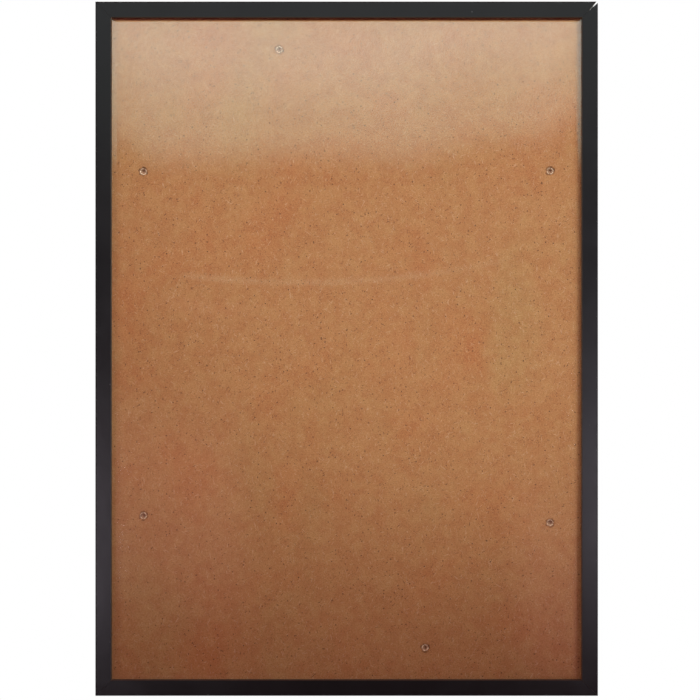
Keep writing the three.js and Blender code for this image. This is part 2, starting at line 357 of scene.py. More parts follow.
def makeLights():
    lit = []
    run = lampSet["rowRun"]
    for aside, share in lampSet["rowLamps"]:
        lamp = bpy.data.lights.new("rowLamp", "SPOT")
        lamp.energy = lampSet["rowPower"] * share * (1 + aside ** 2) ** 1.5    # the far ones are stronger
        lamp.color = lampSet["rowColour"]
        lamp.shadow_soft_size = lampSet["rowRadius"]
        lamp.spot_size = math.radians(lampSet["rowCone"])
        lamp.spot_blend = lampSet["rowBlend"]
        lit.append((lamp, (aside * run, -run, lampSet["rowHeight"]), lampSet["rowAim"]))
    for name, place, aim, size, power in lampSet["softLamps"]:
        lamp = bpy.data.lights.new(name, "AREA")
        lamp.size = size
        lamp.energy = power
        lit.append((lamp, place, aim))
    for lamp, place, aim in lit:
        holder = placeObject(lamp.name, lamp)
        holder.location = place
        holder.rotation_euler = (Vector(aim) - holder.location).to_track_quat("-Z", "Y").to_euler()
        holder.visible_camera = False


# the room that the frame mirrors: slopes are the rise, or the way aside, over the run from the frame
roomSet = {
    "leastRun": 0.001,
    "wall": (0.197, 0.022, 0.028),
    "ceiling": (0.57, 0.065, 0.085),
    "ceilingRise": (0.35, 0.7),
    "rear": (0.62, 0.62, 0.63),          # the side of the room that the back sees
    "rearFrom": (-0.1, 0.15),
    "dim": (0.033, 0.014, 0.013),        # straight behind the camera
    "dimSlopes": (0.25, 0.6),
    "glow": (0.26, 0.10, 0.09),          # warm light low on both sides of that
    "glowSlopes": (-0.15, -0.09, -0.075, -0.015),
    "glowTilt": 0.19,
    "glowRight": (0.06, 0.085),
    "glowLeft": (-0.035, -0.06),
    "window": (1.06, 1.32, 1.235),
    "windowPane": (0.090, 0.135),        # rise from which the light grows, and where it is full
    "windowTop": (0.22, 0.32),
    "windowSides": (0.30, 0.45),
    "sill": (1.06, 1.50, 1.24),
    "sillFrom": (0.074, 0.095),
    "sillShare": 0.48,
    "sillStep": 0.009,                   # the sill is higher to the right, and again at both ends
    "sillRight": (0.02, 0.06),
    "sillEnds": (0.083, 0.10),
    "panel": (10.8, 10.7, 11.8),         # pale panels low on both sides, the right one higher
    "panelSlopes": (-0.135, -0.095, -0.066, 0.0),
    "panelSides": (0.111, 0.123, 0.2, 0.26),
    "panelTilt": 0.08,
    "panelLeft": 0.82,                   # the left one is dimmer
    "panelMiddle": (-0.05, 0.05),
    "backdrop": (1.0, 1.0, 1.0),         # all that the camera sees of it
}


def makeRoom():
    world = bpy.data.worlds.new("studio")
    scene.world = world
    world.use_nodes = True
    tree = world.node_tree
    x, y, z = split(tree, addNode(tree, "ShaderNodeTexCoord").outputs["Generated"])
    run = calc(tree, "MAXIMUM", times(tree, y, -1.0), roomSet["leastRun"])
    front = calc(tree, "LESS_THAN", y, 0.0)
    rise = calc(tree, "DIVIDE", z, run)
    toRight = calc(tree, "DIVIDE", x, run)
    aside = calc(tree, "ABSOLUTE", toRight)
    off = calc(tree, "MAXIMUM", aside, calc(tree, "ABSOLUTE", rise))
    colour = tint(tree, ease(tree, z, *roomSet["ceilingRise"]), roomSet["wall"], roomSet["ceiling"])
    dim = times(tree, fade(tree, off, *roomSet["dimSlopes"]), front)
    colour = tint(tree, dim, colour, roomSet["dim"])
    tilted = calc(tree, "MULTIPLY_ADD", toRight, roomSet["glowTilt"], rise)
    sides = plus(tree, ease(tree, toRight, *roomSet["glowRight"]), ease(tree, toRight, *roomSet["glowLeft"]))
    glow = times(tree, between(tree, tilted, *roomSet["glowSlopes"]), sides, front)
    colour = tint(tree, glow, colour, roomSet["glow"])
    steps = plus(tree, ease(tree, toRight, *roomSet["sillRight"]), ease(tree, aside, *roomSet["sillEnds"]))
    above = calc(tree, "MULTIPLY_ADD", steps, -roomSet["sillStep"], rise)
    sill = times(tree, ease(tree, above, *roomSet["sillFrom"]), roomSet["sillShare"])
    pane = ease(tree, above, *roomSet["windowPane"])
    window = times(tree, plus(tree, sill, times(tree, pane, 1.0 - roomSet["sillShare"])), front,
                   fade(tree, rise, *roomSet["windowTop"]), fade(tree, aside, *roomSet["windowSides"]))
    colour = tint(tree, window, colour, tint(tree, pane, roomSet["sill"], roomSet["window"]))
    level = calc(tree, "MULTIPLY_ADD", toRight, -roomSet["panelTilt"], rise)
    panel = times(tree, between(tree, level, *roomSet["panelSlopes"]), front,
                  between(tree, aside, *roomSet["panelSides"]),
                  ease(tree, toRight, *roomSet["panelMiddle"], roomSet["panelLeft"], 1.0))
    colour = tint(tree, panel, colour, roomSet["panel"])
    colour = tint(tree, ease(tree, y, *roomSet["rearFrom"]), colour, roomSet["rear"])
    seen = addNode(tree, "ShaderNodeLightPath").outputs["Is Camera Ray"]
    colour = tint(tree, seen, colour, roomSet["backdrop"])
    tree.links.new(colour, tree.nodes["Background"].inputs["Color"])


floorSet = {
    "level": -1.45,
    "half": 3.0,
    "fade": (1.9, 2.9),          # it is gone at this distance from the middle
    "dark": (0.62, 0.88, 0.87),    # cool, so that it is neutral in the room's warm light
    "pale": (0.655, 0.93, 0.92),
    "cloud": (3.0, 4.0),         # noise: scale, detail
    "roughness": 0.7,
}


def makeFloor():
    half, level = floorSet["half"], floorSet["level"]
    outline = [(-half, -half, level), (half, -half, level), (half, half, level), (-half, half, level)]
    floor = placeObject("floor", meshFrom("floor", outline, [(0, 1, 2, 3)]))
    material, tree, shader, place = newMaterial("paleFloor")
    cloud = noise(tree, place, *floorSet["cloud"])
    feed(tree, shader, {"Base Color": tint(tree, cloud, floorSet["dark"], floorSet["pale"]),
                        "Roughness": floorSet["roughness"]})
    flat = onVectors(tree, "MULTIPLY", place, (1, 1, 0)).outputs[0]
    far = onVectors(tree, "LENGTH", flat).outputs["Value"]
    clear = addNode(tree, "ShaderNodeBsdfTransparent")
    mixShaders(tree, ease(tree, far, *floorSet["fade"]), shader, clear)
    floor.data.materials.append(material)
    floor.visible_diffuse = False    # no light from it on the frame


makeLights()
makeRoom()
makeFloor()
scene.view_settings.view_transform = "Standard"
print("studio: lamps, room and floor")


# finishes; a noise is given as scale, detail, roughness, a bump as strength, depth

foilSet = {
    "dark": (0.0090, 0.0077, 0.0083),
    "light": (0.0126, 0.0107, 0.0116),
    "cloud": (14.0, 3.0),
    "dust": (0.12, 0.11, 0.11),
    "dustCells": 130.0,
    "dustRare": 0.93,            # cells below this have none
    "dustSize": (0.05, 0.09),
    "dustShare": 0.5,
    "smear": (30.0, 4.0, 0.6),
    "smearFrom": (0.3, 0.7),
    "roughness": (0.12, 0.17),
    "gloss": 0.2,
    "sheen": (1.0, 0.92, 0.96),
    "grain": (1500.0, 2.0, 0.6),
    "grainHeight": 0.25,
    "peel": (90.0, 1.0),
    "bump": (0.12, 0.00012),
}


def makeFoil():
    material, tree, shader, place = newMaterial("blackFoil")
    colour = tint(tree, noise(tree, place, *foilSet["cloud"]), foilSet["dark"], foilSet["light"])
    cells = addNode(tree, "ShaderNodeTexVoronoi", {"Vector": place, "Scale": foilSet["dustCells"]}).outputs
    picked = calc(tree, "GREATER_THAN", split(tree, cells["Color"])[0], foilSet["dustRare"])
    speck = times(tree, fade(tree, cells["Distance"], *foilSet["dustSize"]), picked, foilSet["dustShare"])
    colour = tint(tree, speck, colour, foilSet["dust"])
    smear = noise(tree, place, *foilSet["smear"])
    grain = times(tree, noise(tree, place, *foilSet["grain"]), foilSet["grainHeight"])
    height = plus(tree, grain, noise(tree, place, *foilSet["peel"]))
    coat(tree, shader, foilSet, colour, smear, height)
    feed(tree, shader, {"Specular Tint": rgba(foilSet["sheen"])})
    return material


edgeSet = {
    "dark": (0.040, 0.024, 0.015),
    "light": (0.068, 0.040, 0.025),
    "fluff": (700.0, 3.0, 0.6),
    "smearFrom": (0.3, 0.7),
    "roughness": (0.55, 0.75),
    "gloss": 0.1,
    "bump": (0.2, 0.0001),
}


def makeEdge():
    # the lip's edge is dark brown and matt, not black foil
    material, tree, shader, place = newMaterial("stainedEdge")
    fluff = noise(tree, place, *edgeSet["fluff"])
    coat(tree, shader, edgeSet, tint(tree, fluff, edgeSet["dark"], edgeSet["light"]), fluff, fluff)
    return material


coreSet = {
    "dark": (0.24, 0.16, 0.09),
    "pale": (0.42, 0.30, 0.18),
    "paleFrom": (0.3, 0.7),
    "fluff": (900.0, 4.0, 0.7),
    "fluffStretch": (1.0, 2.2, 1.0),
    "fluffShare": 0.7,
    "cloud": (70.0, 3.0),
    "cloudShare": 0.3,
    "smearFrom": (0.2, 0.8),
    "roughness": (0.8, 0.95),
    "gloss": 0.25,
    "bump": (0.6, 0.0003),
}


def makeCore():
    material, tree, shader, place = newMaterial("rawFibreboard")
    fluff = noise(tree, stretched(tree, place, coreSet["fluffStretch"]), *coreSet["fluff"])
    cloud = noise(tree, place, *coreSet["cloud"])
    share = plus(tree, times(tree, fluff, coreSet["fluffShare"]), times(tree, cloud, coreSet["cloudShare"]))
    colour = tint(tree, ease(tree, share, *coreSet["paleFrom"]), coreSet["dark"], coreSet["pale"])
    coat(tree, shader, coreSet, colour, fluff, fluff)
    return material


boardSet = {
    "base": (0.412, 0.170, 0.0655),
    "red": (0.413, 0.150, 0.055),
    "redPatch": (11.0, 3.0, 0.55),
    "redFrom": (0.45, 0.72),
    "olive": (0.400, 0.183, 0.070),
    "olivePatch": (1.0, 3.0, 0.55),
    "oliveStretch": (9.0, 9.0, 5.0),
    "oliveFrom": (0.5, 0.75),
    "mottle": (85.0, 4.0, 0.65),
    "mottleDark": (0.95, 0.885, 0.86),    # dark blotches are redder, pale ones yellower
    "mottlePale": (1.05, 1.115, 1.14),
    "grain": (620.0, 3.0, 0.65),
    "grainFrom": (0.25, 0.75),
    "grainDark": (0.83, 0.795, 0.70),
    "grainPale": (1.17, 1.205, 1.30),
    "fibre": (0.60, 0.36, 0.22),
    "fibreShare": 0.48,
    "fibreTurns": (0.3, 1.05, 1.75, 2.5),    # how each lot of fibres lies
    "fibreSize": (0.006, 0.0009),        # length, width
    "fibreRare": (0.69, 0.06),           # limit, spread
    "fibreNoise": (1.0, 1.0, 0.4, 0.8),
    "fibreDeep": 30.0,
    "fibreApart": (17.0, 5.0, 11.0),     # shift of a lot for each radian of its turn
    "fibreHeight": 1.5,
    "threadTurns": (-0.5, 0.6, 1.6),     # dark fibres
    "threadSize": (0.0034, 0.0008),
    "threadRare": (0.715, 0.05),
    "speck": (0.115, 0.041, 0.016),
    "speckShare": 0.85,
    "specks": ((120.0, 0.18, 0.06, 0.09), (260.0, 0.28, 0.06, 0.13)),    # per metre, share, size, spread
    "ragged": (900.0, 2.0),
    "raggedReach": 0.0010,
    "smearFrom": (0.3, 0.7),
    "roughness": (0.45, 0.6),
    "gloss": 0.15,
    "bump": (0.3, 0.0002),
}


def fibreLot(tree, place, turn, size, rare):
    length, width = size
    limit, spread = rare
    lot = stretched(tree, place, (1 / length, boardSet["fibreDeep"], 1 / width), turn)
    shift = tuple(turn * value for value in boardSet["fibreApart"])
    streak = noise(tree, onVectors(tree, "ADD", lot, shift).outputs[0], *boardSet["fibreNoise"])
    return ease(tree, streak, limit, limit + spread)


def speckLot(tree, place, scale, share, least, spread):
    cells = addNode(tree, "ShaderNodeTexVoronoi", {"Vector": place, "Scale": scale}).outputs
    chance = split(tree, cells["Color"])
    size = calc(tree, "MULTIPLY_ADD", chance[1], spread, least)
    spot = calc(tree, "LESS_THAN", cells["Distance"], size)
    return times(tree, spot, calc(tree, "LESS_THAN", chance[0], share))


def makeBoardFace():
    material, tree, shader, place = newMaterial("hardboardFace")
    patch = noise(tree, place, *boardSet["redPatch"])
    colour = tint(tree, ease(tree, patch, *boardSet["redFrom"]), boardSet["base"], boardSet["red"])
    patch = noise(tree, stretched(tree, place, boardSet["oliveStretch"]), *boardSet["olivePatch"])
    colour = tint(tree, ease(tree, patch, *boardSet["oliveFrom"]), colour, boardSet["olive"])
    mottle = noise(tree, place, *boardSet["mottle"])
    share = ease(tree, mottle, *boardSet["smearFrom"])
    blotches = tint(tree, share, boardSet["mottleDark"], boardSet["mottlePale"])
    colour = tint(tree, 1.0, colour, blotches, "MULTIPLY")
    grain = noise(tree, place, *boardSet["grain"])
    share = ease(tree, grain, *boardSet["grainFrom"])
    grains = tint(tree, share, boardSet["grainDark"], boardSet["grainPale"])
    colour = tint(tree, 1.0, colour, grains, "MULTIPLY")
    lots = [fibreLot(tree, place, turn, boardSet["fibreSize"], boardSet["fibreRare"])
            for turn in boardSet["fibreTurns"]]
    fibres = chain(tree, "MAXIMUM", *lots)
    colour = tint(tree, times(tree, fibres, boardSet["fibreShare"]), colour, boardSet["fibre"])
    wobble = noise(tree, place, *boardSet["ragged"], output="Color")
    ragged = onVectors(tree, "MULTIPLY_ADD", wobble, (boardSet["raggedReach"],) * 3, place).outputs[0]
    lots = [speckLot(tree, ragged, *row) for row in boardSet["specks"]]
    lots += [fibreLot(tree, place, turn, boardSet["threadSize"], boardSet["threadRare"])
             for turn in boardSet["threadTurns"]]
    dark = times(tree, chain(tree, "MAXIMUM", *lots), boardSet["speckShare"])
    colour = tint(tree, dark, colour, boardSet["speck"])
    height = plus(tree, grain, times(tree, fibres, boardSet["fibreHeight"]))
    coat(tree, shader, boardSet, colour, mottle, height)
    return material


# painted shadow of each rivet on the board round it: dark patches over the board's own colour
rimShadowSet = {
    "dark": (0.165, 0.060, 0.023),
    "pale": (0.41, 0.166, 0.064),
    "paleFrom": (0.36, 0.6),
    "patchNoise": (320.0, 4.0, 0.65),
    "roughness": 0.7,
    "gloss": 0.15,
    "bump": (0.4, 0.0002),
}


def makeRimShadow():
    # the board's dished face round a rivet's rolled end, in patches darker than the board: a painted shadow
    # of the rivet
    material, tree, shader, place = newMaterial("pressedHardboard")
    patchNoise = noise(tree, place, *rimShadowSet["patchNoise"])
    share = ease(tree, patchNoise, *rimShadowSet["paleFrom"])
    feed(tree, shader, {
        "Base Color": tint(tree, share, rimShadowSet["dark"], rimShadowSet["pale"]),
        "Roughness": rimShadowSet["roughness"],
        "Specular IOR Level": rimShadowSet["gloss"],
        "Normal": bump(tree, patchNoise, *rimShadowSet["bump"]),
    })
    return material


screenSet = {
    "dark": (0.19, 0.085, 0.038),
    "pale": (0.33, 0.17, 0.085),
    "paleFrom": (0.3, 0.9),
    "pitch": 0.0014,             # of the wire screen that the board was pressed on
    "meshShare": 0.35,
    "cloud": (45.0, 4.0, 0.6),
    "cloudShare": 0.5,
    "fluff": (800.0, 3.0, 0.7),
    "fluffShare": 0.35,
    "smearFrom": (0.3, 0.7),
    "roughness": (0.72, 0.88),
    "gloss": 0.3,
    "bump": (0.6, 0.00025),
}


def makeBoardBack():
    material, tree, shader, place = newMaterial("hardboardScreen")
    parts = split(tree, place)
    rate = 2 * math.pi / screenSet["pitch"]
    across, along = [calc(tree, "SINE", times(tree, parts[axis], rate)) for axis in ("X", "Z")]
    mesh = times(tree, across, along)
    cloud = noise(tree, place, *screenSet["cloud"])
    fluff = noise(tree, place, *screenSet["fluff"])
    share = plus(tree, ease(tree, mesh, -1.0, 1.0, 0.0, screenSet["meshShare"]),
                 times(tree, cloud, screenSet["cloudShare"]), times(tree, fluff, screenSet["fluffShare"]))
    colour = tint(tree, ease(tree, share, *screenSet["paleFrom"]), screenSet["dark"], screenSet["pale"])
    coat(tree, shader, screenSet, colour, cloud, plus(tree, mesh, fluff))
    return material


sheetSet = {
    "mirror": 0.08,              # each side mirrors twice: the styrene and its protective film
    "mirrorPower": 5.0,          # it grows so at a slant
    "through": (0.985, 0.99, 0.988),
    "smear": (25.0, 4.0, 0.65),
    "smearFrom": (0.35, 0.7),
    "roughness": (0.02, 0.04),
    "softAngle": 32,
    "columns": 110,
    "rows": 300,
    "form": {
        "Held": 0.006,           # flat under the lip, free further in
        "Free Across": 0.13,
        "Free Up": 0.08,
        "Wave Height": -0.00003,
        "Wave Across": 0.31,
        "Wave Up": 0.25,
        "Wave Crest": 0.113,
        "Wave Node": 0.19,
        "Ripple": 0.0006,        # a crease that sags in the middle
        "Ripple Level": 0.0537,
        "Ripple Middle": -0.048,
        "Ripple Sag": 0.5,
        "Ripple Width": 0.020,
        "Ripple Fade": 0.155,
        "Ripple End": 0.24,
        "Rough": 0.00004,
        "Rough Scale": 14.0,
        "Set Back": 0.00025,     # only the rim of the sheet touches the lip
        "Rim Start": 0.0045,
        "Rim End": 0.0085,
        "Seed": 4.0,
    },
}


def makeClear():
    material, tree, shader, place = newMaterial("clearPlastic")
    tree.nodes.remove(shader)
    facing = addNode(tree, "ShaderNodeLayerWeight", {"Blend": 0.5}).outputs["Facing"]
    mirror = sheetSet["mirror"]
    slant = calc(tree, "POWER", facing, sheetSet["mirrorPower"])
    smear = noise(tree, place, *sheetSet["smear"])
    rough = ease(tree, smear, *sheetSet["smearFrom"], *sheetSet["roughness"])
    gloss = addNode(tree, "ShaderNodeBsdfGlossy", {"Color": rgba((1, 1, 1)), "Roughness": rough})
    clear = addNode(tree, "ShaderNodeBsdfTransparent", {"Color": rgba(sheetSet["through"])})
    mixShaders(tree, calc(tree, "MULTIPLY_ADD", slant, 1.0 - mirror, mirror), clear, gloss)
    return material


steelSet = {
    "brushed": (1.0, 3.0, 0.65),
    "brushedShare": 0.6,
    "cloud": (160.0, 3.0, 0.6),
    "cloudShare": 0.4,
    "smearFrom": (0.25, 0.75),
    "gloss": 0.5,
}

# streaks in each metre; the roughness goes from dark to pale
steelFinishes = {
    "springSteel": {
        "dark": (0.42, 0.41, 0.40), "pale": (0.66, 0.65, 0.63), "patchy": 0.2, "metal": 1.0,
        "roughness": (0.38, 0.22), "streaks": (900.0, 900.0, 2600.0), "bump": (0.25, 0.00005)},
    "nickelPlate": {
        "dark": (0.55, 0.52, 0.47), "pale": (0.78, 0.75, 0.70), "patchy": 0.2, "metal": 1.0,
        "roughness": (0.32, 0.16), "streaks": (1200.0, 1200.0, 1200.0), "bump": (0.15, 0.00005)},
    "rivetPlate": {
        "dark": (0.50, 0.29, 0.18), "pale": (1.0, 0.70, 0.49), "patchy": 0.1, "metal": 0.25,
        "roughness": (0.56, 0.4), "streaks": (1100.0, 1100.0, 1100.0), "bump": (0.15, 0.00005)},
    # tarnish in a rivet's bore, painted shade in its splits and a painted shadow round the foot of its rolled
    # end
    "tarnishedBore": {
        "dark": (0.20, 0.082, 0.04), "pale": (0.47, 0.225, 0.115), "patchy": 0.2, "metal": 0.2,
        "roughness": (0.7, 0.5), "streaks": (1400.0, 1400.0, 1400.0), "bump": (0.3, 0.00005)},
    "wireSteel": {
        "dark": (0.24, 0.23, 0.22), "pale": (0.46, 0.45, 0.44), "patchy": 0.2, "metal": 1.0,
        "roughness": (0.5, 0.3), "streaks": (1500.0, 700.0, 1500.0), "bump": (0.3, 0.00005)},
}


def makeSteel(name):
    finish = {**steelSet, **steelFinishes[name]}
    material, tree, shader, place = newMaterial(name)
    brushed = noise(tree, stretched(tree, place, finish["streaks"]), *finish["brushed"])
    cloud = noise(tree, place, *finish["cloud"])
    share = plus(tree, times(tree, brushed, finish["brushedShare"]), times(tree, cloud, finish["cloudShare"]))
    pale = ease(tree, share, 0.5 - finish["patchy"], 0.5 + finish["patchy"])
    coat(tree, shader, finish, tint(tree, pale, finish["dark"], finish["pale"]), share, brushed)
    feed(tree, shader, {"Metallic": finish["metal"]})
    return material


blackFoil = makeFoil()
stainedEdge = makeEdge()
rawFibreboard = makeCore()
hardboardFace = makeBoardFace()
hardboardScreen = makeBoardBack()
pressedHardboard = makeRimShadow()
clearPlastic = makeClear()
steels = {name: makeSteel(name) for name in steelFinishes}
print("finishes: foil, dark brown edge, fibreboard, hardboard, clear plastic and", len(steels), "metals")


# boxes that the rails share
panelLow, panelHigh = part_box("back_panel")
clearLow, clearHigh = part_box("clear_sheet")
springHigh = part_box("turn_spring_top")[1]
railLow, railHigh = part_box("bottom_rail")
sides = ["bottom", "left", "top", "right"]        # each is the one before turned a quarter about Y

railSet = {
    "faceRounding": 1.2 * mm,
    "backRounding": 0.6 * mm,
    "roundingSteps": 6,
    "sightBevel": (0.9 * mm, 0.8 * mm),    # deep, wide
    "lipBreak": 0.1 * mm,        # the lip's broken edge at the sheet
    "flatEdge": 0.15 * mm,       # keeps a flat face flat up to its rounding
    "flatFrom": 1.2 * mm,        # on faces wider than this
    "wallPlay": 1.0 * mm,        # the panel's clearance in the rebate
    "frontPlay": 0.9 * mm,       # of a spring's tip in the groove
    "springStock": 0.8 * mm,
    "backPlay": 0.3 * mm,
    "grooveDepth": 4.7 * mm,
    "foilWrap": 3.0 * mm,        # the foil's width on the back
    "foilStep": 0.12 * mm,
    "foilMargin": 0.01 * mm,
    "lipMargin": 0.05 * mm,
    "sawnSlant": 0.3,            # a face that looks this far along the rail is sawn
    "edgeFacing": 0.5,           # and one this far inwards is the lip's edge
    "softAngle": 32,
    "hairline": 0.12 * mm,       # shadow line at a closed mitre
    "openWidth": 2.2 * mm,       # the top right mitre has opened at its tip
    "openKnee": (5.0 * mm, 1.35 * mm),    # run from the tip, width there
    "openRun": 16.5 * mm,
    "openPast": (3 * mm, 2 * mm),    # the wedge goes past the tip, and past face and back
    "pocketPlay": 0.3 * mm,      # round the nails
    "pocketPast": 3 * mm,
    "pocketTop": 0.05 * mm,
    "pocketFlat": 0.01,          # radians
}


def railSection():
    # (level, inward) points of the moulding, inward from its outer edge
    face, back = railLow.y, railHigh.y
    width = railHigh.z - railLow.z
    wall = panelLow.x - cadLow.x - railSet["wallPlay"]
    lip = clearLow.y
    grooveFront = springHigh.y - railSet["springStock"] - railSet["frontPlay"]
    grooveBack = springHigh.y + railSet["backPlay"]
    floor = wall - railSet["grooveDepth"]
    steps = railSet["roundingSteps"]
    big, small, broken = railSet["faceRounding"], railSet["backRounding"], railSet["lipBreak"]
    bevelDeep, bevelWide = railSet["sightBevel"]
    step, wrap = railSet["foilStep"], railSet["foilWrap"]
    points = arc((face + big, big), big, 270, 180, steps)
    points += [(face, width - bevelWide), (face + bevelDeep, width)]
    points += [(lip - broken, width), (lip, width - broken), (lip, wall)]
    points += [(grooveFront, wall), (grooveFront, floor), (grooveBack, floor), (grooveBack, wall)]
    points += [(back - step, wall), (back - step, wrap + step), (back, wrap)]
    points += arc((back - small, small), small, 0, -90, steps)
    edge = railSet["flatEdge"]
    held = []
    for here, ahead in zip(points, points[1:] + points[:1]):
        reach = math.dist(here, ahead)
        held.append(here)
        if reach > railSet["flatFrom"]:
            for share in (edge / reach, 1 - edge / reach):
                held.append(tuple(a + (b - a) * share for a, b in zip(here, ahead)))
    return held


def sectionMesh():
    points = [(0.0, level, inward) for level, inward in railSection()]
    mesh = meshFrom("section", points, [tuple(range(len(points)))])
    if mesh.polygons[0].normal.x < 0:
        mesh.flip_normals()
    return mesh


def sideTurn(side):
    return math.radians(90 * sides.index(side))


def railTree():
    tree, ins = newTree("mitredRail", {
        "Geometry": ("Section",),
        "Float": ("Length", "Across", "Turn", "Hairline", "Lip Back", "Foil Wrap"),
        "Object": ("Cuts",),
        "Material": ("Foil", "Core", "Edge")})
    half = times(tree, ins["Length"], 0.5)
    startPlace = join(tree, x=times(tree, half, -1.0))
    start = geo(tree, "Transform", {"Geometry": ins["Section"], "Translation": startPlace})
    bar = drawOut(tree, start, join(tree, x=ins["Length"]))
    bar = joinClosed(tree, bar, geo(tree, "FlipFaces", {"Mesh": start}))
    # mitre: each end drawn back by its distance in from the outer edge
    place = geo(tree, "InputPosition")
    x, y, z = split(tree, place)
    back = calc(tree, "MULTIPLY_ADD", ins["Hairline"], -math.sqrt(0.5), calc(tree, "SUBTRACT", half, z))
    end = times(tree, calc(tree, "SIGN", x), back)
    bar = geo(tree, "SetPosition", {"Geometry": bar, "Position": join(tree, end, y, z)})
    down = join(tree, z=times(tree, ins["Across"], -0.5))
    bar = geo(tree, "Transform", {"Geometry": bar, "Translation": down})
    bar = geo(tree, "Transform", {"Geometry": bar, "Rotation": join(tree, y=ins["Turn"])})
    cut = geo(tree, "MeshBoolean",
              {"Mesh 1": bar, "Mesh 2": meshOf(tree, ins["Cuts"]), "Self Intersection": True},
              operation="DIFFERENCE", solver="EXACT")
    # back in the rail's own directions, to tell wrapped faces from sawn ones
    unturned = times(tree, ins["Turn"], -1.0)
    facing = split(tree, aboutY(tree, geo(tree, "InputNormal"), unturned))
    own = split(tree, aboutY(tree, place, unturned))
    inward = calc(tree, "MULTIPLY_ADD", ins["Across"], 0.5, own["Z"])
    onFront = calc(tree, "LESS_THAN", own["Y"], ins["Lip Back"])
    onWrap = calc(tree, "LESS_THAN", inward, ins["Foil Wrap"])
    unsawn = calc(tree, "LESS_THAN", calc(tree, "ABSOLUTE", facing["X"]), railSet["sawnSlant"])
    wrapped = times(tree, calc(tree, "MAXIMUM", onFront, onWrap), unsawn)
    lipEdge = times(tree, onFront, calc(tree, "GREATER_THAN", facing["Z"], railSet["edgeFacing"]))
    whole = geo(tree, "RealizeInstances", {0: softEdges(tree, cut, railSet["softAngle"])})
    dressed = dress(tree, whole, ins["Core"])
    dressed = dress(tree, dressed, ins["Foil"], wrapped)
    return endTree(tree, dress(tree, dressed, ins["Edge"], lipEdge))


def addPrism(shape, outline, low, high):
    # outline: (x, z) points, from level low to level high
    bottom = [shape.verts.new((x, low, z)) for x, z in outline]
    top = [shape.verts.new((x, high, z)) for x, z in outline]
    shape.faces.new(bottom)
    shape.faces.new(list(reversed(top)))
    count = len(outline)
    for step in range(count):
        ahead = (step + 1) % count
        shape.faces.new((bottom[ahead], bottom[step], top[step], top[ahead]))


def addPocket(shape, node):
    # the nail's own form, swollen by the play and open at the back
    copy = bmesh.new()
    copy.from_mesh(nodes[node].data)
    bmesh.ops.remove_doubles(copy, verts=copy.verts, dist=treeWeld)
    bmesh.ops.dissolve_limit(copy, angle_limit=railSet["pocketFlat"], verts=copy.verts, edges=copy.edges)
    copy.normal_update()
    top = max(vert.co.y for vert in copy.verts)
    places = {}
    for vert in copy.verts:
        place = vert.co + vert.normal * vert.calc_shell_factor() * railSet["pocketPlay"]
        if vert.co.y > top - railSet["pocketTop"]:
            place.y = railHigh.y + railSet["pocketPast"]
        places[vert] = shape.verts.new(place)
    for face in copy.faces:
        shape.faces.new([places[vert] for vert in face.verts])
    copy.free()


def cutsMesh():
    shape = bmesh.new()
    for node in nodes:
        if node.startswith("hanger_nail") or node.startswith("v_nail"):
            addPocket(shape, node)
    # wedge out of the top right mitre
    kneeRun, kneeWidth = railSet["openKnee"]
    beyond, past = railSet["openPast"]
    spread = railSet["openWidth"] + (railSet["openWidth"] - kneeWidth) * beyond / kneeRun
    tip = Vector((cadHigh.x, cadHigh.z))
    inward = Vector((-1, -1)).normalized()
    aside = Vector((-1, 1)).normalized() / 2
    far = tip - inward * beyond
    knee = tip + inward * kneeRun
    wedge = [far + aside * spread, far - aside * spread, knee - aside * kneeWidth,
             tip + inward * railSet["openRun"], knee + aside * kneeWidth]
    addPrism(shape, [(p.x, p.y) for p in wedge], railLow.y - past, railHigh.y + past)
    return closeMesh(shape, "cuts")


def makeRails():
    tree = railTree()
    cuts = placeObject("cuts", cutsMesh())
    width, height = cadHigh.x - cadLow.x, cadHigh.z - cadLow.z
    for side in sides:
        upright = side in ("left", "right")
        values = {
            "Length": height if upright else width,
            "Across": width if upright else height,
            "Turn": sideTurn(side),
            "Hairline": railSet["hairline"],
            "Lip Back": clearLow.y - railSet["lipMargin"],
            "Foil Wrap": railSet["foilWrap"] + railSet["foilMargin"],
            "Cuts": cuts,
            "Foil": blackFoil,
            "Core": rawFibreboard,
            "Edge": stainedEdge,
        }
        rail = bakeTree(side + "Rail", sectionMesh(), tree, values)
        finishPiece(rail, "black_foil", "frame", side + "_rail")
        print("rail:", side, len(rail.data.polygons), "faces")
    bpy.data.objects.remove(cuts)


makeRails()


# clear sheet: a thin slab with the slow waves and the crease of cheap styrene

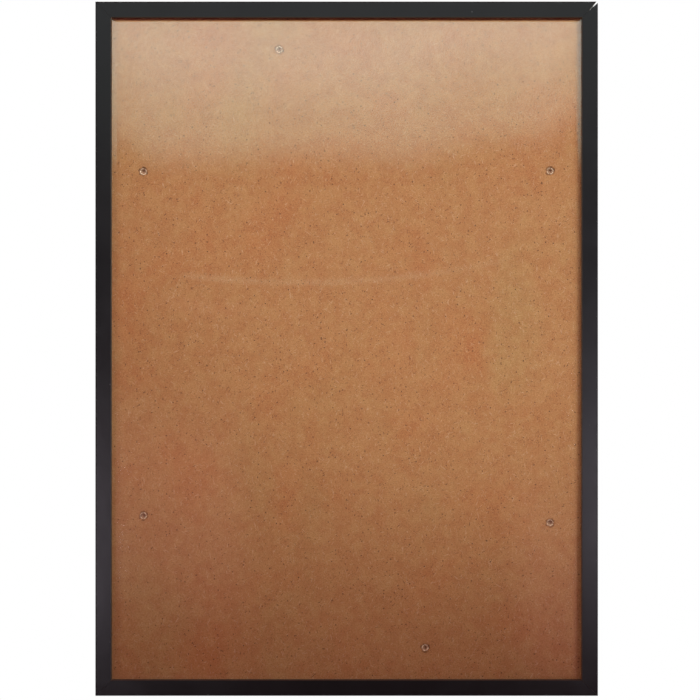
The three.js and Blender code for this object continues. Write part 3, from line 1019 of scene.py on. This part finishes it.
def sheetTree():
    tree, ins = newTree("wavySheet", {
        "Geometry": ("Start",),
        "Int": ("Columns", "Rows"),
        "Float": ("Width", "Height", "Front", "Thickness", *sheetSet["form"]),
        "Material": ("Material",)})
    flat = geo(tree, "MeshGrid", {"Size X": ins["Width"], "Size Y": ins["Height"],
                                  "Vertices X": ins["Columns"], "Vertices Y": ins["Rows"]})
    upright = geo(tree, "Transform", {"Geometry": flat, "Rotation": (math.pi / 2, 0, 0)})
    place = geo(tree, "InputPosition")
    parts = split(tree, place)
    # the lines of the grid lie closer towards the rim
    lines, margins = [], []
    for size, axis in (("Width", "X"), ("Height", "Z")):
        half = times(tree, ins[size], 0.5)
        share = times(tree, calc(tree, "DIVIDE", parts[axis], half), math.pi / 2)
        line = times(tree, calc(tree, "SINE", share), half)
        lines.append(line)
        margins.append(calc(tree, "SUBTRACT", half, calc(tree, "ABSOLUTE", line)))
    x, z = lines
    fromSide, fromEnd = margins
    free = times(tree, ease(tree, fromSide, ins["Held"], ins["Free Across"]),
                 ease(tree, fromEnd, ins["Held"], ins["Free Up"]))
    turnX = calc(tree, "DIVIDE", calc(tree, "SUBTRACT", x, ins["Wave Crest"]), ins["Wave Across"])
    turnZ = calc(tree, "DIVIDE", calc(tree, "SUBTRACT", z, ins["Wave Node"]), ins["Wave Up"])
    waveX = calc(tree, "COSINE", times(tree, turnX, 2 * math.pi))
    waveZ = calc(tree, "SINE", times(tree, turnZ, 2 * math.pi))
    wave = times(tree, waveX, waveZ, ins["Wave Height"])
    fromMiddle = calc(tree, "SUBTRACT", x, ins["Ripple Middle"])
    crease = plus(tree, times(tree, fromMiddle, fromMiddle, ins["Ripple Sag"]), ins["Ripple Level"])
    near = calc(tree, "DIVIDE", calc(tree, "SUBTRACT", z, crease), ins["Ripple Width"])
    ends = fade(tree, calc(tree, "ABSOLUTE", x), ins["Ripple Fade"], ins["Ripple End"])
    ripple = times(tree, calc(tree, "EXPONENT", times(tree, near, near, -1.0)), ends, ins["Ripple"])
    shifted = onVectors(tree, "ADD", place, join(tree, y=ins["Seed"])).outputs[0]
    cloud = calc(tree, "SUBTRACT", noise(tree, shifted, ins["Rough Scale"]), 0.5)
    lift = plus(tree, wave, times(tree, cloud, ins["Rough"]))
    lift = calc(tree, "MULTIPLY_ADD", lift, free, ripple)
    inside = ease(tree, calc(tree, "MINIMUM", fromSide, fromEnd), ins["Rim Start"], ins["Rim End"])
    level = calc(tree, "MULTIPLY_ADD", inside, ins["Set Back"], ins["Front"])
    waved = join(tree, x, calc(tree, "SUBTRACT", level, lift), z)
    front = geo(tree, "SetPosition", {"Geometry": upright, "Position": waved})
    # the grid faces the front, so it is turned over, drawn back and closed with itself
    rear = drawOut(tree, geo(tree, "FlipFaces", {"Mesh": front}), join(tree, y=ins["Thickness"]))
    closed = joinClosed(tree, rear, front)
    whole = geo(tree, "RealizeInstances", {0: softEdges(tree, closed, sheetSet["softAngle"])})
    return endTree(tree, dress(tree, whole, ins["Material"]))


def makeSheet():
    values = {
        "Columns": sheetSet["columns"],
        "Rows": sheetSet["rows"],
        "Width": clearHigh.x - clearLow.x,
        "Height": clearHigh.z - clearLow.z,
        "Front": clearLow.y,
        "Thickness": clearHigh.y - clearLow.y,
        "Material": clearPlastic,
        **sheetSet["form"],
    }
    sheet = bakeTree("clearSheet", bpy.data.meshes.new("sheetStart"), sheetTree(), values)
    finishPiece(sheet, "clear_plastic", "frame", "clear_sheet")
    print("sheet:", len(sheet.data.polygons), "faces")


makeSheet()


# rivets: plated, with the front end rolled over the board and split
rivetNodes = [node for node in nodes if node.startswith("rivet_")]
rivetLow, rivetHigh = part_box(rivetNodes[0])

rivetSet = {
    "bore": 1.45 * mm,
    "boreDepth": 2.6 * mm,
    "boreEnd": (0.6, 0.3 * mm, 0.4 * mm),    # share of the radius, further to the middle, back to the wall
    "boreMouth": ((0.0, 1.3 * mm), (0.25 * mm, 0.95 * mm)),    # added radius, level
    "flare": 2.6 * mm,           # where the bore opens into the rolled end
    "flareDepth": 0.6 * mm,
    "roll": 3.6 * mm,            # outside radius of the rolled end
    "rollHeight": 0.8 * mm,
    "rollSteps": 10,
    "rollTuck": (0.25 * mm, 0.02 * mm),    # in and back from its foot
    "shank": 2.1 * mm,
    "head": 4.6 * mm,
    "headHeight": 1.5 * mm,
    "headBreak": 0.1 * mm,
    "headRim": 0.35 * mm,
    "domePower": 0.8,
    "domeSteps": 8,
    "turnSteps": 72,
    "splits": (20, 118, 205, 301),    # degrees round the rolled end
    "splitGap": 9,
    "splitWidth": 28,
    "splitDepth": 0.8,           # share of the roll's height
    "lean": 0.22 * mm,           # it is lower on one side
    "leanFrom": (0.01 * mm, 0.1 * mm),    # above its foot, outside its bore
    "wornBore": 0.35 * mm,       # the bore's finish goes this far outside it
    "shadedFoot": 0.2 * mm,        # and behind the rolled end, whose foot carries a painted shadow
    "brightFrom": 0.4 * mm,      # inside the flare
    "brightTo": 0.7,             # share of the roll outside its crest
    "softAngle": 38,
    "seed": 3,
}


def splitNear(place):
    # degrees to the nearest split of the rolled end
    around = math.degrees(math.atan2(place.z, place.x))
    return min(abs((around - angle + 180) % 360 - 180) for angle in rivetSet["splits"])


def rivetProfile():
    # (radius, level) from the bore's end to the head; level 0 is the front of the rolled end
    bore, deep, shank, head = [rivetSet[name] for name in ("bore", "boreDepth", "shank", "head")]
    flare, flareDepth = rivetSet["flare"], rivetSet["flareDepth"]
    roll, height = rivetSet["roll"], rivetSet["rollHeight"]
    share, further, wall = rivetSet["boreEnd"]
    profile = [(0, deep + further), (share * bore, deep), (bore, deep - wall)]
    profile += [(bore + added, level) for added, level in rivetSet["boreMouth"]]
    profile.append((flare, flareDepth))
    crest, half, steps = (flare + roll) / 2, (roll - flare) / 2, rivetSet["rollSteps"]
    for step in range(1, steps + 1):
        a = math.pi * (1 - step / steps)
        foot = flareDepth if step < steps / 2 else height
        profile.append((crest + half * math.cos(a), foot * (1 - math.sin(a))))
    tuck, behind = rivetSet["rollTuck"]
    length = rivetHigh.y - rivetLow.y
    under = length - rivetSet["headHeight"]
    rim = under + rivetSet["headRim"]
    broken = rivetSet["headBreak"]
    profile += [(roll - tuck, height + behind), (shank, height + behind), (shank, under)]
    profile += [(head - broken, under), (head, under + broken), (head, rim)]
    steps = rivetSet["domeSteps"]
    for step in range(1, steps):
        a = math.radians(90 * step / steps)
        profile.append((head * math.cos(a) ** rivetSet["domePower"], rim + (length - rim) * math.sin(a)))
    return profile + [(0.0, length)]


def rivetMesh():
    mesh = spinProfile("rivet", rivetProfile(), rivetSet["turnSteps"])
    bore, flare, roll, height = [rivetSet[name] for name in ("bore", "flare", "roll", "rollHeight")]
    aboveFoot, outside = rivetSet["leanFrom"]
    # the rolled end has split, and is lower on one side
    for vert in mesh.vertices:
        radius = math.hypot(vert.co.x, vert.co.z)
        if vert.co.y < height - aboveFoot and radius > bore + outside:
            share = max(0.0, 1 - splitNear(vert.co) / rivetSet["splitWidth"]) * rivetSet["splitDepth"]
            lean = rivetSet["lean"] * (0.5 + 0.5 * vert.co.x / radius)
            low = vert.co.y + lean * (1 - vert.co.y / height)
            vert.co.y = low + (height - low) * share
    mesh.update()
    # wear and shade: 0 plated head and shank, 1 crest of the rolled end, 2 bore, splits and foot, darker:
    # tarnish in the bore, painted shade in the splits and a painted shadow round the foot
    worn = mesh.attributes.new("worn", "FLOAT", "FACE")
    end = rivetSet["boreDepth"] + rivetSet["boreEnd"][1]
    brightTo = (flare + roll) / 2 + rivetSet["brightTo"] * (roll - flare) / 2
    for face in mesh.polygons:
        radius, level = math.hypot(face.center.x, face.center.z), face.center.y
        inBore, onRoll = radius < bore + rivetSet["wornBore"], level < height + rivetSet["shadedFoot"]
        front = level < end and (inBore or onRoll)
        bright = flare - rivetSet["brightFrom"] < radius < brightTo
        darkened = not bright or splitNear(face.center) < rivetSet["splitGap"]
        worn.data[face.index].value = float(front) + float(front and darkened)
    return mesh


# hardboard back, drilled for the rivets
panelSet = {
    "play": 0.3 * mm,            # round a rivet
    "dent": 6.0 * mm,            # the board's worn rim round a rolled end, whose slope carries the rivet's painted shadow
    "dentDepth": 0.45 * mm,
    "dentSteps": 6,
    "drillPast": 1 * mm,
    "drillSteps": 72,
    "softAngle": 40,
    "finishes": ((-0.1, "Pressed"), (-0.9995, "Face")),    # for faces that look further forward than this
}


def stationsFor(name, fasteners, level):
    places = [(nodeMiddle(node).x, level, nodeMiddle(node).z) for node in fasteners]
    return placeObject(name, meshFrom(name, places, []))


def holeMesh():
    # what a drill and the rolled end take out of the board, from its face at level 0
    play, past = panelSet["play"], panelSet["drillPast"]
    seat = rivetLow.y - panelLow.y + rivetSet["rollHeight"] + play
    wide, narrow = rivetSet["roll"] + play, rivetSet["shank"] + play
    dent, depth, steps = panelSet["dent"], panelSet["dentDepth"], panelSet["dentSteps"]
    profile = [(0, -past), (dent, -past), (dent, 0.0)]
    for step in range(1, steps + 1):
        a = math.radians(90 * step / steps)
        profile.append((wide + (dent - wide) * (1 - math.sin(a)), depth * (1 - math.cos(a))))
    end = panelHigh.y - panelLow.y + past
    profile += [(wide, seat), (narrow, seat), (narrow, end), (0, end)]
    return spinProfile("hole", profile, panelSet["drillSteps"])


def panelTree():
    tree, ins = newTree("drilledBoard", {
        "Geometry": ("Hole",),
        "Vector": ("Size", "Middle"),
        "Object": ("Stations",),
        "Material": ("Face", "Pressed", "Back")})
    slab = geo(tree, "MeshCube", {"Size": ins["Size"]})
    slab = geo(tree, "Transform", {"Geometry": slab, "Translation": ins["Middle"]})
    holes = geo(tree, "InstanceOnPoints", {"Points": meshOf(tree, ins["Stations"]), "Instance": ins["Hole"]})
    holes = geo(tree, "RealizeInstances", {0: holes})
    drilled = geo(tree, "MeshBoolean", {"Mesh 1": slab, "Mesh 2": holes},
                  operation="DIFFERENCE", solver="EXACT")
    whole = geo(tree, "RealizeInstances", {0: softEdges(tree, drilled, panelSet["softAngle"])})
    facing = split(tree, geo(tree, "InputNormal"))["Y"]
    dressed = dress(tree, whole, ins["Back"])
    for limit, finish in panelSet["finishes"]:
        dressed = dress(tree, dressed, ins[finish], calc(tree, "LESS_THAN", facing, limit))
    return endTree(tree, dressed)


def makePanel():
    stations = stationsFor("drillStations", rivetNodes, panelLow.y)
    values = {
        "Size": panelHigh - panelLow,
        "Middle": (panelHigh + panelLow) / 2,
        "Stations": stations,
        "Face": hardboardFace,
        "Pressed": pressedHardboard,
        "Back": hardboardScreen,
    }
    panel = bakeTree("backPanel", holeMesh(), panelTree(), values)
    finishPiece(panel, "hardboard", "frame", "back_panel")
    bpy.data.objects.remove(stations)
    print("panel:", len(panel.data.polygons), "faces")


makePanel()


# rivets and nails: one tree sets a spun fastener on every station

nailSet = {
    "shank": 0.7 * mm,
    "head": 1.7 * mm,
    "headHeight": 0.6 * mm,
    "headBreak": 0.15 * mm,
    # shares of the head: radius, below the top
    "crown": ((1.0, 0.75), (1.0, 0.5), (0.8, 0.12), (0.35, 0.0), (0.0, 0.0)),
    "point": 1.6 * mm,
    "turnSteps": 20,
    "seed": 8,
}


def nailMesh(length):
    # level 0 is the point
    shank, head, top = nailSet["shank"], nailSet["head"], nailSet["headHeight"]
    profile = [(0, 0), (shank, nailSet["point"]), (shank, length - top)]
    profile.append((head - nailSet["headBreak"], length - top))
    profile += [(share * head, length - below * top) for share, below in nailSet["crown"]]
    return spinProfile("nail", profile, nailSet["turnSteps"])


def fastenerTree():
    tree, ins = newTree("setFasteners", {
        "Geometry": ("Fastener",),
        "Object": ("Stations",),
        "Int": ("Seed",),
        "Material": ("Material", "Rolled", "Bore")})
    turns = {"Min": (0, 0, 0), "Max": (0, 2 * math.pi, 0), "Seed": ins["Seed"]}
    spin = addNode(tree, "FunctionNodeRandomValue", turns, data_type="FLOAT_VECTOR").outputs[0]
    lots = geo(tree, "InstanceOnPoints", {
        "Points": meshOf(tree, ins["Stations"]), "Instance": ins["Fastener"], "Rotation": spin})
    whole = geo(tree, "RealizeInstances", {0: lots})
    dressed = dress(tree, softEdges(tree, whole, rivetSet["softAngle"]), ins["Material"])
    worn = geo(tree, "InputNamedAttribute", {"Name": "worn"}, data_type="FLOAT")
    for limit, finish in ((0.5, "Rolled"), (1.5, "Bore")):
        dressed = dress(tree, dressed, ins[finish], calc(tree, "GREATER_THAN", worn, limit))
    return endTree(tree, dressed)


def makeFasteners():
    tree = fastenerTree()
    stations = stationsFor("rivetStations", rivetNodes, rivetLow.y)
    rivets = bakeTree("rivets", rivetMesh(), tree,
                      {"Stations": stations, "Seed": rivetSet["seed"], "Material": steels["nickelPlate"],
                       "Rolled": steels["rivetPlate"], "Bore": steels["tarnishedBore"]})
    rivets.data.attributes.remove(rivets.data.attributes["worn"])
    finishPiece(rivets, "plated_steel", "frame", *rivetNodes)
    bpy.data.objects.remove(stations)
    nailNodes = [node for node in nodes if node.startswith("hanger_nail")]
    low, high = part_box(nailNodes[0])
    stations = stationsFor("nailStations", nailNodes, low.y)
    nails = bakeTree("hangerNails", nailMesh(high.y - low.y), tree,
                     {"Stations": stations, "Seed": nailSet["seed"], "Material": steels["wireSteel"]})
    finishPiece(nails, "wire_steel", "frame", *nailNodes)
    bpy.data.objects.remove(stations)
    print("fasteners:", len(rivetNodes), "rivets and", len(nailNodes), "nails")


makeFasteners()


# stamped strips: turn springs and hangers are flat blanks with holes, bent along their length
stripSet = {
    "holeSteps": 16,             # round half a hole
    "bendSteps": 8,
    "brokenEdge": 0.16,          # share of the stock
    "edgeSegments": 2,
    "edgeAngle": 50,
    "softAngle": 40,
}


def halfBlank(shape, edge, holes, side):
    # edge: (along, aside) points from the far end to the near one; holes: (along, radius) on the axis
    outline = list(edge)
    for along, radius in sorted(holes):
        outline += arc((along, 0.0), radius, 180, 0, stripSet["holeSteps"])
    shape.faces.new([shape.verts.new((along, 0.0, side * aside)) for along, aside in outline])


def bentStrip(name, edges, holes, bends, rise, stock, place, material):
    # bends: (start, end) stretches along which the strip climbs to rise, or back where end < start
    shape = bmesh.new()
    halfBlank(shape, edges[0], holes, 1)
    halfBlank(shape, edges[1], holes, -1)
    bmesh.ops.remove_doubles(shape, verts=shape.verts, dist=weld)
    steps = stripSet["bendSteps"]
    for start, end in bends:
        for step in range(steps + 1):
            cut = start + (end - start) * step / steps
            bmesh.ops.bisect_plane(shape, geom=shape.verts[:] + shape.edges[:] + shape.faces[:], dist=weld,
                                   plane_co=(cut, 0, 0), plane_no=(1, 0, 0))
    for vert in shape.verts:
        share = 1.0
        for start, end in bends:
            t = min(max((vert.co.x - start) / (end - start), 0.0), 1.0)
            share *= t * t * (3 - 2 * t)
        vert.co.y = rise * share + stock / 2
    bmesh.ops.recalc_face_normals(shape, faces=shape.faces)
    for vert in shape.verts:
        vert.co = place @ vert.co
    strip = placeObject(name, meshOut(shape, name))
    wall = strip.modifiers.new("stock", "SOLIDIFY")
    wall.thickness = stock
    wall.offset = 0.0
    wall.use_even_offset = True
    edge = strip.modifiers.new("brokenEdge", "BEVEL")
    edge.width = stock * stripSet["brokenEdge"]
    edge.segments = stripSet["edgeSegments"]
    edge.limit_method = "ANGLE"
    edge.angle_limit = math.radians(stripSet["edgeAngle"])
    bakeModifiers(strip)
    strip.data.shade_smooth()
    strip.data.set_sharp_from_angle(angle=math.radians(stripSet["softAngle"]))
    strip.data.materials.clear()
    strip.data.materials.append(material)
    return strip


springSet = {
    "stock": 0.8 * mm,
    "pad": 6.5 * mm,             # radius round the rivet
    "tip": 4.6 * mm,
    "hole": 2.4 * mm,
    "bendStart": 7.5 * mm,
    "bendLength": 9.0 * mm,
    "roundSteps": 24,
}


def springEdge(reach):
    # half the blank: round the tip, along the taper and round the pad
    pad, tip, steps = springSet["pad"], springSet["tip"], springSet["roundSteps"]
    lean = math.degrees(math.acos((pad - tip) / (reach - tip)))
    return arc((reach - tip, 0), tip, 0, lean, steps) + arc((0, 0), pad, lean, 180, steps)


def makeSprings():
    stock, start = springSet["stock"], springSet["bendStart"]
    holes = [(0.0, springSet["hole"])]
    bends = [(start, start + springSet["bendLength"])]
    for joint in frame["joints"]:
        body = joint["child"]
        node = "turn_" + body
        pivot = Vector(joint["pos_m"])
        low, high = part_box(node)
        toTip = nodeMiddle(node) - pivot
        reach = max(abs(value - middle) for corner in (low, high)
                    for value, middle in ((corner.x, pivot.x), (corner.z, pivot.z)))
        turn = Matrix.Rotation(math.atan2(-toTip.z, toTip.x), 4, "Y")
        place = Matrix.Translation((pivot.x, low.y, pivot.z)) @ turn
        edge = springEdge(reach)
        spring = bentStrip("turnSpring." + body.removeprefix("spring_"), (edge, edge), holes, bends,
                           high.y - low.y - stock, stock, place, steels["springSteel"])
        finishPiece(spring, "spring_steel", body, node)


makeSprings()


hangerSet = {
    "stock": 0.7 * mm,
    "tab": 8.0 * mm,             # flat end that is nailed down
    "ramp": 2.2 * mm,
    "corner": 1.5 * mm,
    "cornerSteps": 6,
    "toothPitch": 2.6 * mm,
    "toothDepth": 1.3 * mm,
    "hole": 1.0 * mm,
}


def hangerEdges(length, width):
    half, side, corner = length / 2, width / 2, hangerSet["corner"]
    right = [(half, 0)] + arc((half - corner, side - corner), corner, 0, 90, hangerSet["cornerSteps"])
    left = [(-along, aside) for along, aside in reversed(right)]
    pitch, depth = hangerSet["toothPitch"], hangerSet["toothDepth"]
    count = int(2 * (half - hangerSet["tab"] - hangerSet["ramp"]) / pitch)
    teeth = []
    for tooth in range(count):
        start = count * pitch / 2 - tooth * pitch
        teeth += [(start, side), (start - pitch / 2, side - depth)]
    teeth.append((-count * pitch / 2, side))
    return right + left, right + teeth + left


def makeHangers():
    stock, tab, ramp = hangerSet["stock"], hangerSet["tab"], hangerSet["ramp"]
    for node in ("hanger_top", "hanger_left"):
        side = node.removeprefix("hanger_")
        low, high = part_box(node)
        middle = nodeMiddle(node)
        size = high - low
        length, width = max(size.x, size.z), min(size.x, size.z)
        nail = nodeMiddle("hanger_nail_" + side + "_1") - middle
        reach = abs(nail.x if size.x > size.z else nail.z)
        holes = [(reach, hangerSet["hole"]), (-reach, hangerSet["hole"])]
        plain, toothed = hangerEdges(length, width)
        # teeth face the middle of the frame
        turn = Matrix.Rotation(sideTurn(side), 4, "Y")
        place = Matrix.Translation((middle.x, low.y, middle.z)) @ turn
        half = length / 2
        bends = [(-half + tab, -half + tab + ramp), (half - tab, half - tab - ramp)]
        hanger = bentStrip("hanger." + side, (toothed, plain), holes, bends, size.y - stock, stock, place,
                           steels["nickelPlate"])
        finishPiece(hanger, "plated_steel", "frame", node)
    print("hangers: 2")


makeHangers()

for node in nodes:
    if node.startswith("v_nail"):
        nodes[node].data.materials.clear()
        nodes[node].data.materials.append(steels["wireSteel"])
print("corner nails: steel")
